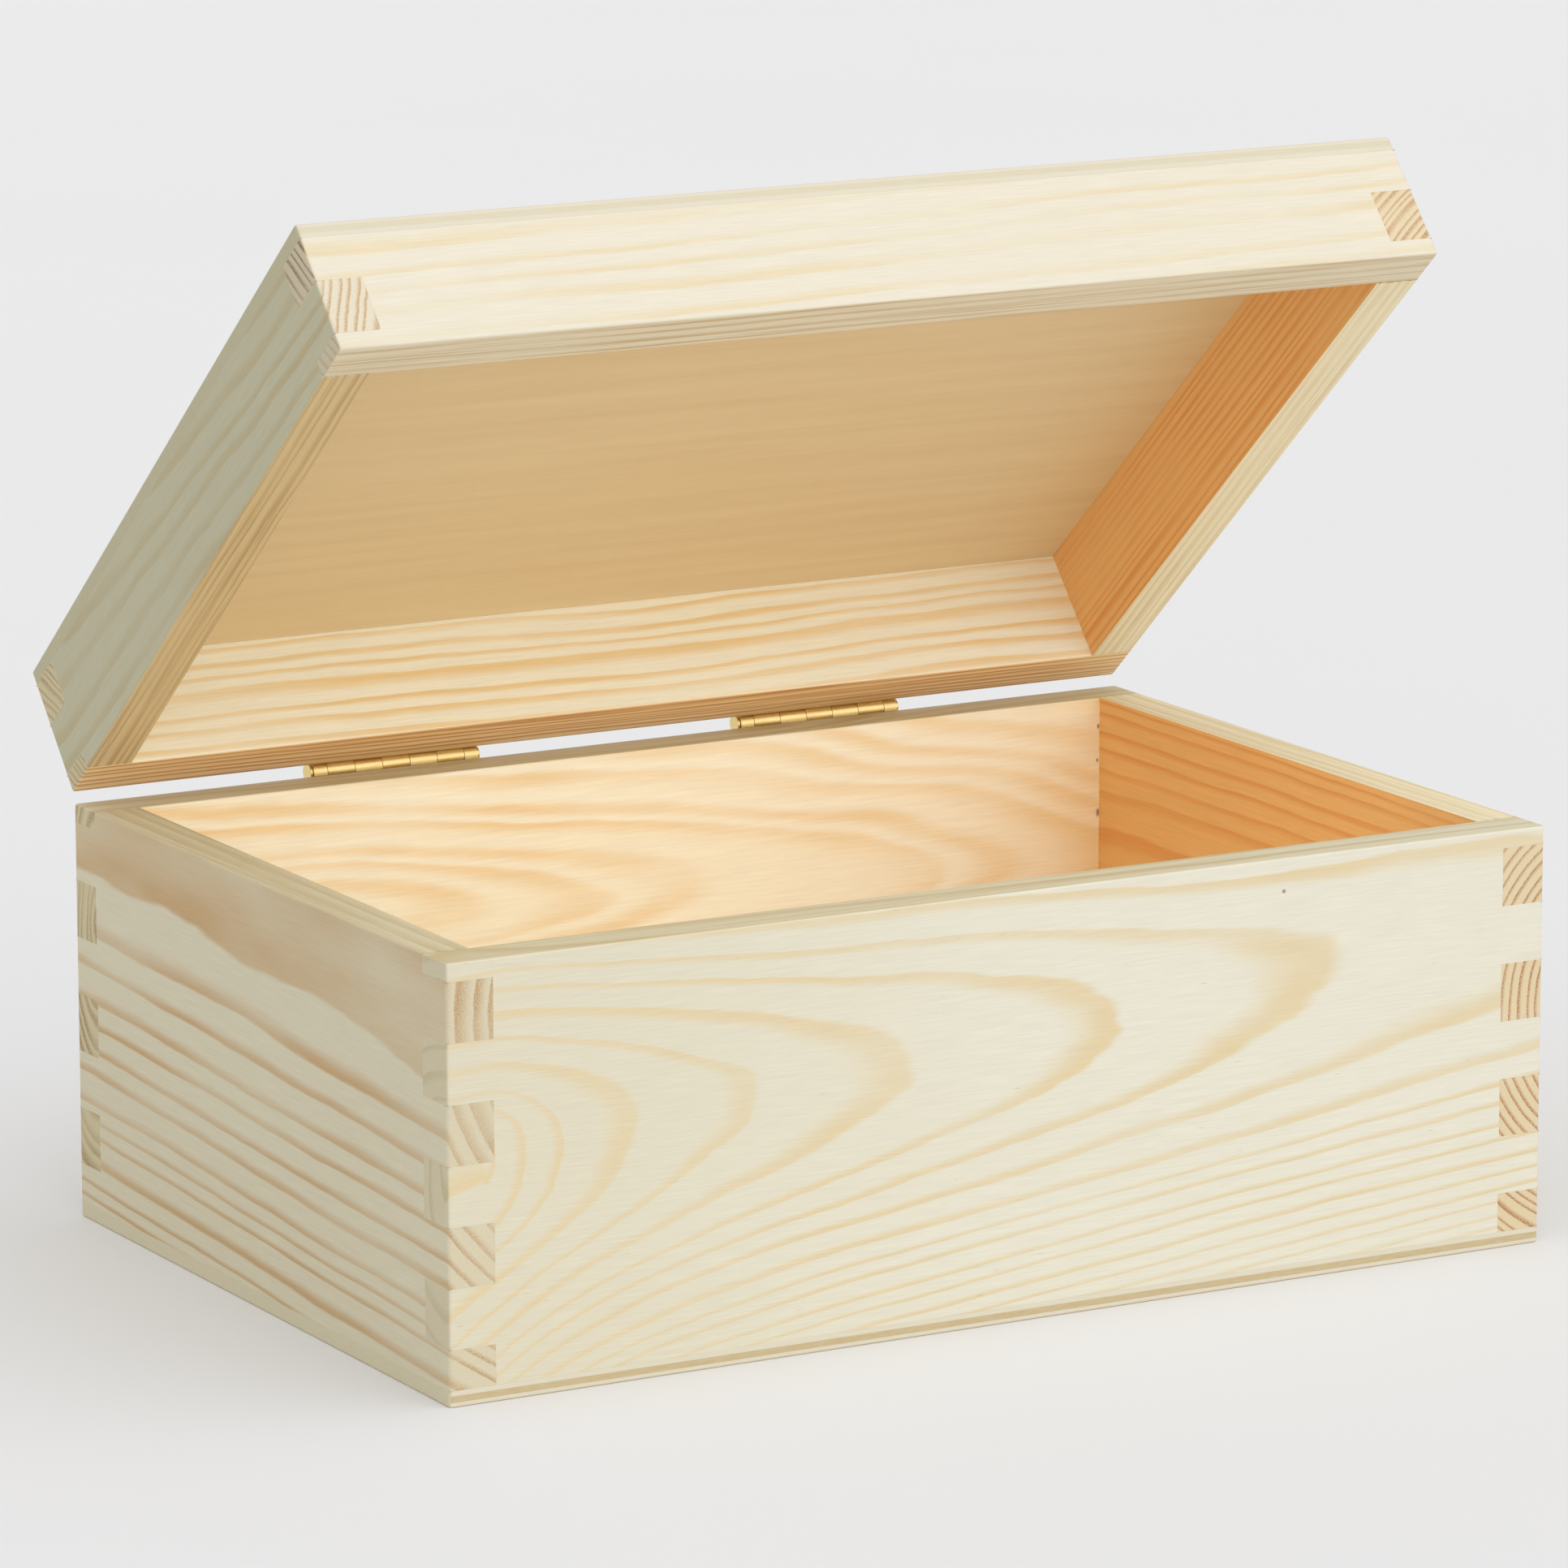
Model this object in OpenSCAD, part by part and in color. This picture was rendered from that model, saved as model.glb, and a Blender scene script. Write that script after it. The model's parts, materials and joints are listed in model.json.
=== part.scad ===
// Hinged wooden box for toys: two finger-jointed pine frames, each closed by a plywood panel and
// joined along the back by two brass butt hinges. The lid is drawn standing open.
// The origin is the centre of the underside. +X runs along the length, -Y faces the front, +Z is up.

/* [Box] */
// Outer length, side to side
box_l = 300; // [260:5:400]
// Outer width, front to back
box_w = 200; // [150:5:300]
// Height of the closed box
closed_h = 140; // [136:1:150]
// Height of the base, with its bottom panel
base_h = 104.6; // [102:0.2:108]
// Gap between the base's rim and the closed lid's rim
rim_gap = 0.8; // [0.4:0.1:1]

/* [Boards] */
// Thickness of the pine boards
board_t = 12; // [11:0.5:14]
// Thickness of the plywood panels
panel_t = 4; // [3:0.5:5]
// Height of one whole finger of the corner joints
finger_h = 14.4; // [13:0.1:15]
// Height of the part finger at each rim
rim_finger_h = 4.5; // [3:0.1:6]
// Radius of the upright outer corners
corner_r = 1; // [0.6:0.2:3]
// Radius of the long outer edges of the rims and panels
edge_r = 0.6; // [0.4:0.1:2]

/* [Hinges] */
// Distance of each hinge's middle from the middle of the box
hinge_x = 61; // [40:1:90]
// Length of one hinge
hinge_l = 46; // [40:1:50]
// Reach of a leaf from the hinge's axis
leaf_reach = 16; // [14:0.5:18]
// Thickness of the brass sheet
leaf_t = 1.2; // [1:0.1:1.3]
// Radius of the hinge pin
pin_r = 1.55; // [1.3:0.05:1.6]
// Running clearance around the pin
pin_clear = 0.05; // [0.02:0.01:0.1]
// Length of the part knuckle at each end of a hinge
end_knuckle = 3.8; // [3:0.1:5]

/* [Screws] */
// Radius of a screw's countersunk head
head_r = 2.3; // [2.1:0.1:2.4]
// Radius of a screw's shank
shank_r = 1.1; // [0.9:0.1:1.3]
// Length of a screw
screw_l = 9.5; // [8:0.5:10]
// Distance of the outer screws from the middle one, along the hinge
screw_pitch = 15.5; // [13:0.5:17]

/* [Pose] */
// Angle at which the lid stands open
lid_open = 41; // [0:1:180]

/* [Hidden] */
$fn = 48;
cut = 1;                        // overshoot of a cutting block past the faces that it opens
knuckles = 7;                   // of one hinge, shared out between its two leaves
knuckle_gap = 0.1;              // end play between two knuckles
knuckle_relief = 0.35;          // between a leaf and the other leaf's knuckles
axis_stand_off = 0.05;          // between the knuckles and the plane of the boards' back faces
curl_start = 0.6;               // where a leaf's flat ends and its curl begins, from the axis
leaf_corner_r = 1.5;
pin_head_r = 2.3;
pin_head_l = 0.7;
screws_per_leaf = 3;
outer_screw_drop = 11;          // from the axis to the two outer screws
middle_screw_drop = 8;          // from the axis to the middle screw
screw_clear = 0.02;             // around a screw, in the leaf and in the board
screw_tip_l = 1.6;
slot_w = 0.6;                   // driver slot in a screw's head
slot_depth = 0.45;

lid_bottom = base_h + rim_gap;
lid_frame_top = closed_h - panel_t;
bore_r = pin_r + pin_clear;
knuckle_r = bore_r + leaf_t;
knuckle_l = (hinge_l - 2 * end_knuckle) / (knuckles - 2);
axis_y = box_w / 2 + knuckle_r + axis_stand_off;
axis_z = base_h + rim_gap / 2;
leaf_back = axis_stand_off + knuckle_r;         // from the axis to a leaf's face on the wood

SIDES = ["left", "right"];
LEAVES = ["base", "lid"];
function screw_node(side, leaf, i) = str(side, "_", leaf, "_screw_", i + 1);

// ---- Outer shape and pose ----

// A w by h rectangle about the origin, its four corners rounded by true arcs.
module rounded_rect(w, h, r) {
    square([w - 2 * r, h], center = true);
    square([w, h - 2 * r], center = true);
    for (x = [-1, 1]) for (y = [-1, 1]) translate([x * (w / 2 - r), y * (h / 2 - r)]) circle(r);
}

// The outer shape of the base or the lid between two heights. Every long outer edge is rounded.
module envelope(z0, z1) {
    mid = (z0 + z1) / 2;
    intersection() {
        translate([0, 0, z0]) linear_extrude(z1 - z0) rounded_rect(box_l, box_w, corner_r);
        translate([0, 0, mid]) rotate([90, 0, 90])
            linear_extrude(box_l + 2 * cut, center = true) rounded_rect(box_w, z1 - z0, edge_r);
        translate([0, 0, mid]) rotate([90, 0, 0])
            linear_extrude(box_w + 2 * cut, center = true) rounded_rect(box_l, z1 - z0, edge_r);
    }
}

// Swings a piece of the closed lid about the hinges' axis to the angle at which the lid stands.
module opened() {
    translate([0, axis_y, axis_z])
        rotate([-lid_open, 0, 0])
        translate([0, -axis_y, -axis_z]) children();
}

// ---- Corner joints ----

// The end boards' fingers as [low, high] heights, for a frame that runs from its rim by dir * depth.
function end_fingers(rim, dir, depth) = [
    for (i = [0 : 2 : 8])
        let (near = rim_finger_h + i * finger_h, far = min(near + finger_h, depth))
        if (near < depth) dir < 0 ? [rim - far, rim - near] : [rim + near, rim + far]];

BASE_FINGERS = end_fingers(base_h, -1, base_h - panel_t);
LID_FINGERS = end_fingers(lid_bottom, 1, lid_frame_top - lid_bottom);

// The end boards' fingers as blocks, at the four corners of a frame. They run past the outer faces
// by over, which makes clean cuts.
module finger_blocks(fingers, over) {
    side = board_t + over;
    far_x = (box_l - board_t + over) / 2;
    far_y = (box_w - board_t + over) / 2;
    for (f = fingers) for (x = [-1, 1]) for (y = [-1, 1])
        translate([x * far_x, y * far_y, (f[0] + f[1]) / 2])
            cube([side, side, f[1] - f[0]], center = true);
}

// A front (side = -1) or back (side = 1) board. It has the full length and is notched at both ends.
module long_board(side, z0, z1, fingers) {
    difference() {
        translate([0, side * (box_w - board_t) / 2, (z0 + z1) / 2])
            cube([box_l, board_t, z1 - z0], center = true);
        finger_blocks(fingers, cut);
    }
}

// A left (side = -1) or right (side = 1) board. It fits between the long boards, with its fingers
// running through them.
module end_board(side, z0, z1, fingers) {
    intersection() {
        translate([side * (box_l - board_t) / 2, 0, (z0 + z1) / 2])
            cube([board_t, box_w, z1 - z0], center = true);
        union() {
            translate([0, 0, (z0 + z1) / 2]) cube([box_l, box_w - 2 * board_t, z1 - z0], center = true);
            finger_blocks(fingers, 0);
        }
    }
}

// ---- Screws ----

// A leaf's screw from the middle of its hinge: [along the axis, away from the axis].
function screw_spot(i) = i == 1 ? [0, middle_screw_drop] : [(i - 1) * screw_pitch, outer_screw_drop];

// Places a shape drawn along +Z so that it enters the wood through screw hole i of a leaf. dir is -1
// for the base's leaf and 1 for the lid's.
module at_screw(side, dir, i) {
    spot = screw_spot(i);
    translate([side * hinge_x + spot[0], box_w / 2 + leaf_t, axis_z + dir * spot[1]])
        rotate([90, 0, 0]) children();
}

// A countersunk screw with its head's face at z = 0.
module screw() {
    point_z = screw_l - screw_tip_l;
    difference() {
        rotate_extrude()
            polygon([[0, 0], [head_r, 0], [shank_r, leaf_t], [shank_r, point_z], [0, screw_l]]);
        translate([0, 0, (slot_depth - cut) / 2])
            cube([2 * head_r + cut, slot_w, slot_depth + cut], center = true);
    }
}

// What a screw takes out of the board behind its leaf.
module pilot_hole() {
    cylinder(h = screw_l + screw_clear, r = shank_r + screw_clear);
}

// The pilot holes of both hinges, in the base's back board (dir = -1) or the lid's (dir = 1).
module pilot_holes(dir) {
    for (side = [-1, 1]) for (i = [0 : screws_per_leaf - 1]) at_screw(side, dir, i) pilot_hole();
}

module screw_piece(side, dir, i) {
    color("darkgoldenrod") at_screw(side, dir, i) screw();
}

// ---- Hinges ----

// Where knuckle k starts along the hinge, from the hinge's middle.
function knuckle_start(k) = k == 0 ? -hinge_l / 2 : -hinge_l / 2 + end_knuckle + (k - 1) * knuckle_l;
function knuckle_end(k) = k == knuckles - 1 ? hinge_l / 2 : knuckle_start(k + 1);

// The knuckles of a leaf, by number: the base's leaf has the even ones and the lid's has the odd.
function own_knuckles(first) = [for (k = [first : 2 : knuckles - 1]) k];

// A leaf's flat outline: +Y points from its free edge to the hinge's axis, which is at y = 0. It is
// cut back where the other leaf's knuckles turn.
module leaf_outline(other) {
    difference() {
        union() {
            translate([-hinge_l / 2, leaf_corner_r - leaf_reach])
                square([hinge_l, leaf_reach - leaf_corner_r - curl_start]);
            translate([leaf_corner_r - hinge_l / 2, -leaf_reach])
                square([hinge_l - 2 * leaf_corner_r, leaf_reach - curl_start]);
            for (x = [-1, 1]) translate([x * (hinge_l / 2 - leaf_corner_r), leaf_corner_r - leaf_reach])
                circle(leaf_corner_r);
        }
        for (k = other) {
            x0 = knuckle_start(k) - (k == 0 ? cut : knuckle_gap / 2);
            x1 = knuckle_end(k) + (k == knuckles - 1 ? cut : knuckle_gap / 2);
            translate([x0, -knuckle_r - knuckle_relief]) square([x1 - x0, 2 * knuckle_r]);
        }
    }
}

// One leaf, closed: a flat on the wood and its knuckles, curled around the pin. dir is -1 for the
// base's leaf, which hangs down from the axis, and 1 for the lid's.
module leaf(side, dir) {
    own = own_knuckles(dir < 0 ? 0 : 1);
    other = own_knuckles(dir < 0 ? 1 : 0);
    difference() {
        translate([side * hinge_x, axis_y, axis_z]) {
            mirror([0, 0, dir > 0 ? 1 : 0]) translate([0, leaf_t - leaf_back, 0])
                rotate([90, 0, 0]) linear_extrude(leaf_t) leaf_outline(other);
            for (k = own) {
                x0 = knuckle_start(k) + (k == 0 ? 0 : knuckle_gap / 2);
                x1 = knuckle_end(k) - (k == knuckles - 1 ? 0 : knuckle_gap / 2);
                knuckle(x0, x1);
            }
        }
        translate([side * hinge_x - hinge_l / 2 - cut, axis_y, axis_z])
            rotate([0, 90, 0]) cylinder(h = hinge_l + 2 * cut, r = bore_r);
        for (i = [0 : screws_per_leaf - 1]) at_screw(side, dir, i) screw_hole();
    }
}

// A knuckle's outer barrel between two places along the axis.
module knuckle(x0, x1) {
    translate([x0, 0, 0]) rotate([0, 90, 0]) cylinder(h = x1 - x0, r = knuckle_r);
}

// The countersunk hole that a screw's head fills in a leaf.
module screw_hole() {
    cylinder(h = leaf_t, r1 = head_r + screw_clear, r2 = shank_r + screw_clear);
}

module leaf_piece(side, dir) {
    color("goldenrod") leaf(side, dir);
}

// The pin, with a flattened head outside each end of the barrel.
module hinge_pin(side) {
    head_x = hinge_l / 2 + pin_clear;
    color("gold") translate([side * hinge_x, axis_y, axis_z]) rotate([0, 90, 0]) {
        cylinder(h = 2 * head_x + pin_head_l, r = pin_r, center = true);
        for (end = [-1, 1]) translate([0, 0, end * (head_x + pin_head_l / 2)])
            cylinder(h = pin_head_l, r = pin_head_r, center = true);
    }
}

module left_base_leaf() { leaf_piece(-1, -1); }
module left_lid_leaf() { opened() leaf_piece(-1, 1); }
module right_base_leaf() { leaf_piece(1, -1); }
module right_lid_leaf() { opened() leaf_piece(1, 1); }

// ---- Base ----

module base_long_board(side) {
    intersection() {
        long_board(side, panel_t, base_h, BASE_FINGERS);
        envelope(0, base_h);
    }
}

module base_end_board(side) {
    color("tan") intersection() {
        end_board(side, panel_t, base_h, BASE_FINGERS);
        envelope(0, base_h);
    }
}

module base_front_board() {
    color("cornsilk") base_long_board(-1);
}

module base_back_board() {
    color("burlywood") difference() {
        base_long_board(1);
        pilot_holes(-1);
    }
}

module base_left_board() { base_end_board(-1); }
module base_right_board() { base_end_board(1); }

// The plywood bottom, glued under the frame and flush with it all round.
module base_bottom_panel() {
    color("wheat") intersection() {
        translate([0, 0, panel_t / 2]) cube([box_l, box_w, panel_t], center = true);
        envelope(0, base_h);
    }
}

// ---- Lid ----

module lid_long_board(side) {
    intersection() {
        long_board(side, lid_bottom, lid_frame_top, LID_FINGERS);
        envelope(lid_bottom, closed_h);
    }
}

module lid_end_board(side) {
    color("tan") opened() intersection() {
        end_board(side, lid_bottom, lid_frame_top, LID_FINGERS);
        envelope(lid_bottom, closed_h);
    }
}

module lid_front_board() {
    color("cornsilk") opened() lid_long_board(-1);
}

module lid_back_board() {
    color("burlywood") opened() difference() {
        lid_long_board(1);
        pilot_holes(1);
    }
}

module lid_left_board() { lid_end_board(-1); }
module lid_right_board() { lid_end_board(1); }

// The plywood top, glued on the lid's frame and flush with it all round.
module lid_top_panel() {
    color("wheat") opened() intersection() {
        translate([0, 0, closed_h - panel_t / 2]) cube([box_l, box_w, panel_t], center = true);
        envelope(lid_bottom, closed_h);
    }
}

// ---- Assembly ----

base_front_board();
base_back_board();
base_left_board();
base_right_board();
base_bottom_panel();
lid_front_board();
lid_back_board();
lid_left_board();
lid_right_board();
lid_top_panel();
left_base_leaf();
left_lid_leaf();
hinge_pin(-1);  // left_hinge_pin
right_base_leaf();
right_lid_leaf();
hinge_pin(1);  // right_hinge_pin
for (s = [0, 1]) for (i = [0 : screws_per_leaf - 1]) {
    screw_piece(2 * s - 1, -1, i);
    opened() screw_piece(2 * s - 1, 1, i);
}
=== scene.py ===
# %% [markdown]
# # A hinged pine box for toys
# The real box is two shallow frames of pine boards, finger-jointed at the corners. A plywood panel
# closes the base below and the lid above, and two brass butt hinges join them at the back. The sizes,
# the places and the lid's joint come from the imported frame. This script gives every board its rounded
# arrises and its own growth rings, and rolls the hinges from sheet brass.

import json
import math

import bmesh
import bpy
from mathutils import Matrix, Vector


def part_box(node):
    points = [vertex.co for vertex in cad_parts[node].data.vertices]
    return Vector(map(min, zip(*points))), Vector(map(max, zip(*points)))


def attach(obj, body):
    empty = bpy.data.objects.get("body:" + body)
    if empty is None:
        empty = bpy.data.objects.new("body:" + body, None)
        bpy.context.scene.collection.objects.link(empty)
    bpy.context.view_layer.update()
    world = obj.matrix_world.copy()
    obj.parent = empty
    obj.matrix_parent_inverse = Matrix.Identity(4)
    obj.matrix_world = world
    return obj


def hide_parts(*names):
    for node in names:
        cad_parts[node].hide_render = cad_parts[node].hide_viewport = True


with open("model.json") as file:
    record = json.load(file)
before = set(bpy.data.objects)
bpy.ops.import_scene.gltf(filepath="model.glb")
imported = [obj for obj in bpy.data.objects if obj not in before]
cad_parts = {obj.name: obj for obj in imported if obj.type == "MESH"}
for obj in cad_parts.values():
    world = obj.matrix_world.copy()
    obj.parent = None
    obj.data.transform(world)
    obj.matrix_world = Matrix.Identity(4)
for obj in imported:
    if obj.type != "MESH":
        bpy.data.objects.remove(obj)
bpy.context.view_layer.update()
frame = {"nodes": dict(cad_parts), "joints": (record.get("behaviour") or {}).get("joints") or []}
MM = 0.001

# %% [markdown]
# ## Sizes and the lid's pose
# The lid stands part open at rest, so its pieces are easiest to build closed, square to the box, and
# then to swing up about the hinges' axis. The joint says how far: its lowest value is the closed lid.

# %% Work out sizes, in millimetres, and the lid's turn
joint = frame["joints"][0]
lid_open = math.radians(-joint["range_deg"][0])
axis_at = Vector(joint["pos_m"])
swing_up = (Matrix.Translation(axis_at) @ Matrix.Rotation(-lid_open, 4, "X")
            @ Matrix.Translation(-axis_at))


def closed_box(node):
    """Lowest and highest corners of a lid node with the lid shut, in millimetres."""
    shut = swing_up.inverted()
    points = [shut @ v.co / MM for v in frame["nodes"][node].data.vertices]
    return tuple(Vector([pick(p[i] for p in points) for i in range(3)]) for pick in (min, max))


def rest_box(node):
    """Lowest and highest corners of a node of the base, in millimetres."""
    return tuple(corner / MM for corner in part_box(node))


panel_low, panel_high = rest_box("base_bottom_panel")
board_low, board_high = rest_box("base_front_board")
lid_board_low, lid_board_high = closed_box("lid_front_board")
_, lid_panel_high = closed_box("lid_top_panel")
LENGTH = panel_high.x - panel_low.x
WIDTH = panel_high.y - panel_low.y
BOARD = board_high.y - board_low.y
PANEL = panel_high.z
BASE_RIM = board_high.z
LID_RIM = lid_board_low.z
LID_FRAME_TOP = lid_board_high.z
LID_TOP = lid_panel_high.z
AXIS_Y, AXIS_Z = axis_at.y / MM, axis_at.z / MM
print(f"box {LENGTH:.1f} x {WIDTH:.1f} x {LID_TOP:.1f} mm, boards {BOARD:.1f} mm, "
      f"lid open {math.degrees(lid_open):.0f} degrees")

# %% [markdown]
# ## Camera, floor and light
# A long lens from the front left, a little above the box, keeps its upright edges nearly parallel.
# The floor is one pale sheet that curves up far behind. The light is a wide soft sun from the front
# right and an even sky, so the floor is one flat grey, the front is brightest and the left end is in
# soft shade. A small unseen lamp low in the box does the work of a white card: it throws light up the
# inside walls and under the lid.

# %% Camera
CAMERA_AT = Vector((-1.0326, -1.8267, 0.5559))
AZIMUTH, ELEVATION, ROLL = math.radians(-29.34), math.radians(11.94), math.radians(-0.07)
LENS_MM, SENSOR_MM = 201.6, 36.0

camera_data = bpy.data.cameras.new("camera")
camera_data.lens, camera_data.sensor_width = LENS_MM, SENSOR_MM
camera_data.clip_end = 50
camera = bpy.data.objects.new("camera", camera_data)
bpy.context.scene.collection.objects.link(camera)
back = Vector((math.sin(AZIMUTH) * math.cos(ELEVATION), -math.cos(AZIMUTH) * math.cos(ELEVATION),
               math.sin(ELEVATION)))
turn = (-back).to_track_quat("-Z", "Y").to_matrix().to_4x4()
camera.matrix_world = Matrix.Translation(CAMERA_AT) @ turn @ Matrix.Rotation(ROLL, 4, "Z")
bpy.context.scene.camera = camera
print(f"camera: {LENS_MM:.0f} mm lens, {CAMERA_AT.length:.2f} m from the box")

# %% One function for colours, and one for nodes
MIX_A, MIX_B = 6, 7                             # a Mix node's two colour inputs


def linear(hex_colour):
    """An sRGB hex colour as linear RGBA."""
    parts = [int(hex_colour[i:i + 2], 16) / 255 for i in (1, 3, 5)]
    return [c / 12.92 if c <= 0.04045 else ((c + 0.055) / 1.055) ** 2.4 for c in parts] + [1.0]


def add(tree, kind, *inputs, out=0, named=None, **settings):
    """Adds a node, sets it, feeds its inputs with links or values, and gives one output."""
    node = tree.nodes.new("ShaderNode" + kind)
    for key, value in settings.items():
        setattr(node, key, value)
    for key, value in [*enumerate(inputs), *(named or {}).items()]:
        if isinstance(value, bpy.types.NodeSocket):
            tree.links.new(value, node.inputs[key])
        elif value is not None:
            node.inputs[key].default_value = value
    return node.outputs[out]


def new_material(name):
    """An empty material, its tree and its principled shader."""
    material = bpy.data.materials.new(name)
    material.use_nodes = True
    return material, material.node_tree, material.node_tree.nodes["Principled BSDF"]


# %% Floor
FLOOR_FRONT, FLOOR_BACK, FLOOR_SIDE, SWEEP_R = -6.0, 4.0, 9.0, 3.0

bm = bmesh.new()
front_edge = [bm.verts.new((x, FLOOR_FRONT, 0)) for x in (-FLOOR_SIDE, FLOOR_SIDE)]
strip = bm.edges.new(front_edge)
flat = bmesh.ops.extrude_edge_only(bm, edges=[strip])["geom"]
flat_verts = [g for g in flat if isinstance(g, bmesh.types.BMVert)]
bmesh.ops.translate(bm, verts=flat_verts, vec=(0, FLOOR_BACK - FLOOR_FRONT, 0))
back_edge = [g for g in flat if isinstance(g, bmesh.types.BMEdge)]
bmesh.ops.spin(bm, geom=flat_verts + back_edge, cent=(0, FLOOR_BACK, SWEEP_R), axis=(1, 0, 0),
               angle=math.radians(90), steps=24)
bmesh.ops.recalc_face_normals(bm, faces=bm.faces)
for face in bm.faces:
    face.smooth = True
    if face.normal.z < 0:
        face.normal_flip()
floor_mesh = bpy.data.meshes.new("floor")
bm.to_mesh(floor_mesh)
bm.free()
floor = bpy.data.objects.new("floor", floor_mesh)
bpy.context.scene.collection.objects.link(floor)
paper, tree, shader = new_material("pale matt backdrop paper")
grit = add(tree, "TexNoise", add(tree, "TexCoord", out="Object"),
           named={"Scale": 3.0, "Detail": 2.0})
tone = add(tree, "Mix", grit, named={MIX_A: linear("#e6e6e7"), MIX_B: linear("#e9e9e9")},
           data_type="RGBA", out=2)
tree.links.new(tone, shader.inputs["Base Color"])
shader.inputs["Roughness"].default_value = 0.9
floor_mesh.materials.append(paper)
print(f"floor: {2 * FLOOR_SIDE:.0f} m wide, curving up {FLOOR_BACK:.0f} m behind the box")

# %% Lights
TO_SUN = Vector((0.12, -0.68, 0.66))
SUN_STRENGTH, SUN_SPREAD = 1.45, 120
SKY_STRENGTH = 0.69
GLOW_WATTS, GLOW_WIDE, GLOW_HIGH = 0.062, 0.22, 0.05
GLOW_AT, GLOW_TOWARDS = Vector((0, -0.07, 0.04)), Vector((0, 0.85, 0.53))

sun_data = bpy.data.lights.new("soft sun", "SUN")
sun_data.energy, sun_data.angle = SUN_STRENGTH, math.radians(SUN_SPREAD)
sun = bpy.data.objects.new("soft sun", sun_data)
bpy.context.scene.collection.objects.link(sun)
sun.matrix_world = (-TO_SUN).to_track_quat("-Z", "Y").to_matrix().to_4x4()
glow_data = bpy.data.lights.new("glow inside the box", "AREA")
glow_data.energy, glow_data.shape = GLOW_WATTS, "RECTANGLE"
glow_data.size, glow_data.size_y = GLOW_WIDE, GLOW_HIGH
glow = bpy.data.objects.new("glow inside the box", glow_data)
bpy.context.scene.collection.objects.link(glow)
glow.matrix_world = (Matrix.Translation(GLOW_AT)
                     @ GLOW_TOWARDS.to_track_quat("-Z", "Y").to_matrix().to_4x4())
glow.visible_camera = False
world = bpy.data.worlds.new("studio")
world.use_nodes = True
sky = world.node_tree.nodes["Background"]
sky.inputs["Color"].default_value = linear("#fefeff")
sky.inputs["Strength"].default_value = SKY_STRENGTH
bpy.context.scene.world = world
bpy.context.scene.view_settings.view_transform = "Standard"
print("sun from", [round(c, 2) for c in TO_SUN.normalized()], "spread", SUN_SPREAD, "degrees")

# %% [markdown]
# ## Pine with real growth rings
# A tree's rings are tubes around its pith, and a sawn board shows them three ways: as arches and
# stripes on its faces, as fine lines on its edges and as curved bands on its end grain. A flat
# picture of grain can't agree on all three, so the rings are worked out in space, from each point's
# distance to a slanting pith line that every board places for itself. Wide pale earlywood runs into
# a darker line of latewood, which ends sharply. Soft noise, drawn out along the grain, makes the
# rings wander, and finer noise draws the fibres and the small resin canals.

# %% The place on a board, with the lid shut


def shut_place(tree, lid):
    """The place in millimetres, with the lid shut and square to the box."""
    place = add(tree, "TexCoord", out="Object")
    if lid:
        place = add(tree, "Mapping", place, swing_up.inverted().translation, (lid_open, 0, 0))
    return add(tree, "VectorMath", place, (1 / MM, 1 / MM, 1 / MM), operation="MULTIPLY")


def shut_facing(tree, lid):
    """The way the surface faces, with the lid shut, as X, Y and Z."""
    normal = add(tree, "TexCoord", out="Normal")
    if lid:
        normal = add(tree, "Mapping", normal, (0, 0, 0), (lid_open, 0, 0))
    return add(tree, "SeparateXYZ", normal).node.outputs


def own_waves(tree, look, point, shift, per_mm):
    """A board's place counted in waves, at so many per millimetre, moved on by the board's seed."""
    return add(tree, "Mapping", point, tuple(look["seed"] * k for k in shift), None, per_mm)


# %% [markdown]
# ### Counting rings
# Every place on a board gets a ring number, and its fraction says how far through that year's growth
# the place is. The number is the distance from the pith, by height and by depth, counted in rings.
# Two boards need more. The pith of the front board and of the back board dives inwards along the
# board, which draws arches one inside the other. Below the front board's pith the rings crowd, and
# they fan out at one end.

# %% Ring numbers


def wander(tree, look, point, drift):
    """How far the rings stray at a place, in rings: slowly along the board, and in small wobbles."""
    slow_by, quick_by = look["wave"]
    wobble = own_waves(tree, look, point, (5.3, 1.9, 4.1), (1 / 26, 1 / 9, 1 / 7))
    slow = add(tree, "TexNoise", drift, named={"Scale": 1.0, "Detail": 1.5, "Roughness": 0.45})
    quick = add(tree, "TexNoise", wobble, named={"Scale": 1.0, "Detail": 2.0, "Roughness": 0.5})
    slow = add(tree, "Math", slow, 2 * slow_by, -slow_by, operation="MULTIPLY_ADD")
    return add(tree, "Math", quick, 2 * quick_by, slow, operation="MULTIPLY_ADD")


def rings_up(tree, look, u, v):
    """How far a place is above the pith, in rings."""
    pith_v, slope = look["pith"]
    pith = add(tree, "Math", u, slope, pith_v, operation="MULTIPLY_ADD")
    rise = add(tree, "Math", v, pith, operation="SUBTRACT")
    if "below" not in look:
        return add(tree, "Math", rise, 1 / look["ring_mm"], operation="MULTIPLY")
    crowd, power, share, reach, end = look["below"]
    decay = add(tree, "Math", u, -1 / reach, end / reach, operation="MULTIPLY_ADD")
    decay = add(tree, "Math", decay, operation="EXPONENT")
    fan = add(tree, "Math", decay, -share / crowd, 1 / crowd, operation="MULTIPLY_ADD")
    fall = add(tree, "Math", rise, -1.0, operation="MULTIPLY")
    fall = add(tree, "Math", fall, 0.0, operation="MAXIMUM")
    fall = add(tree, "Math", fall, fan, operation="MULTIPLY")
    fall = add(tree, "Math", fall, power, operation="POWER")
    above = add(tree, "Math", rise, 0.0, operation="MAXIMUM")
    return add(tree, "Math", above, 1 / look["ring_mm"], fall, operation="MULTIPLY_ADD")


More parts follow.
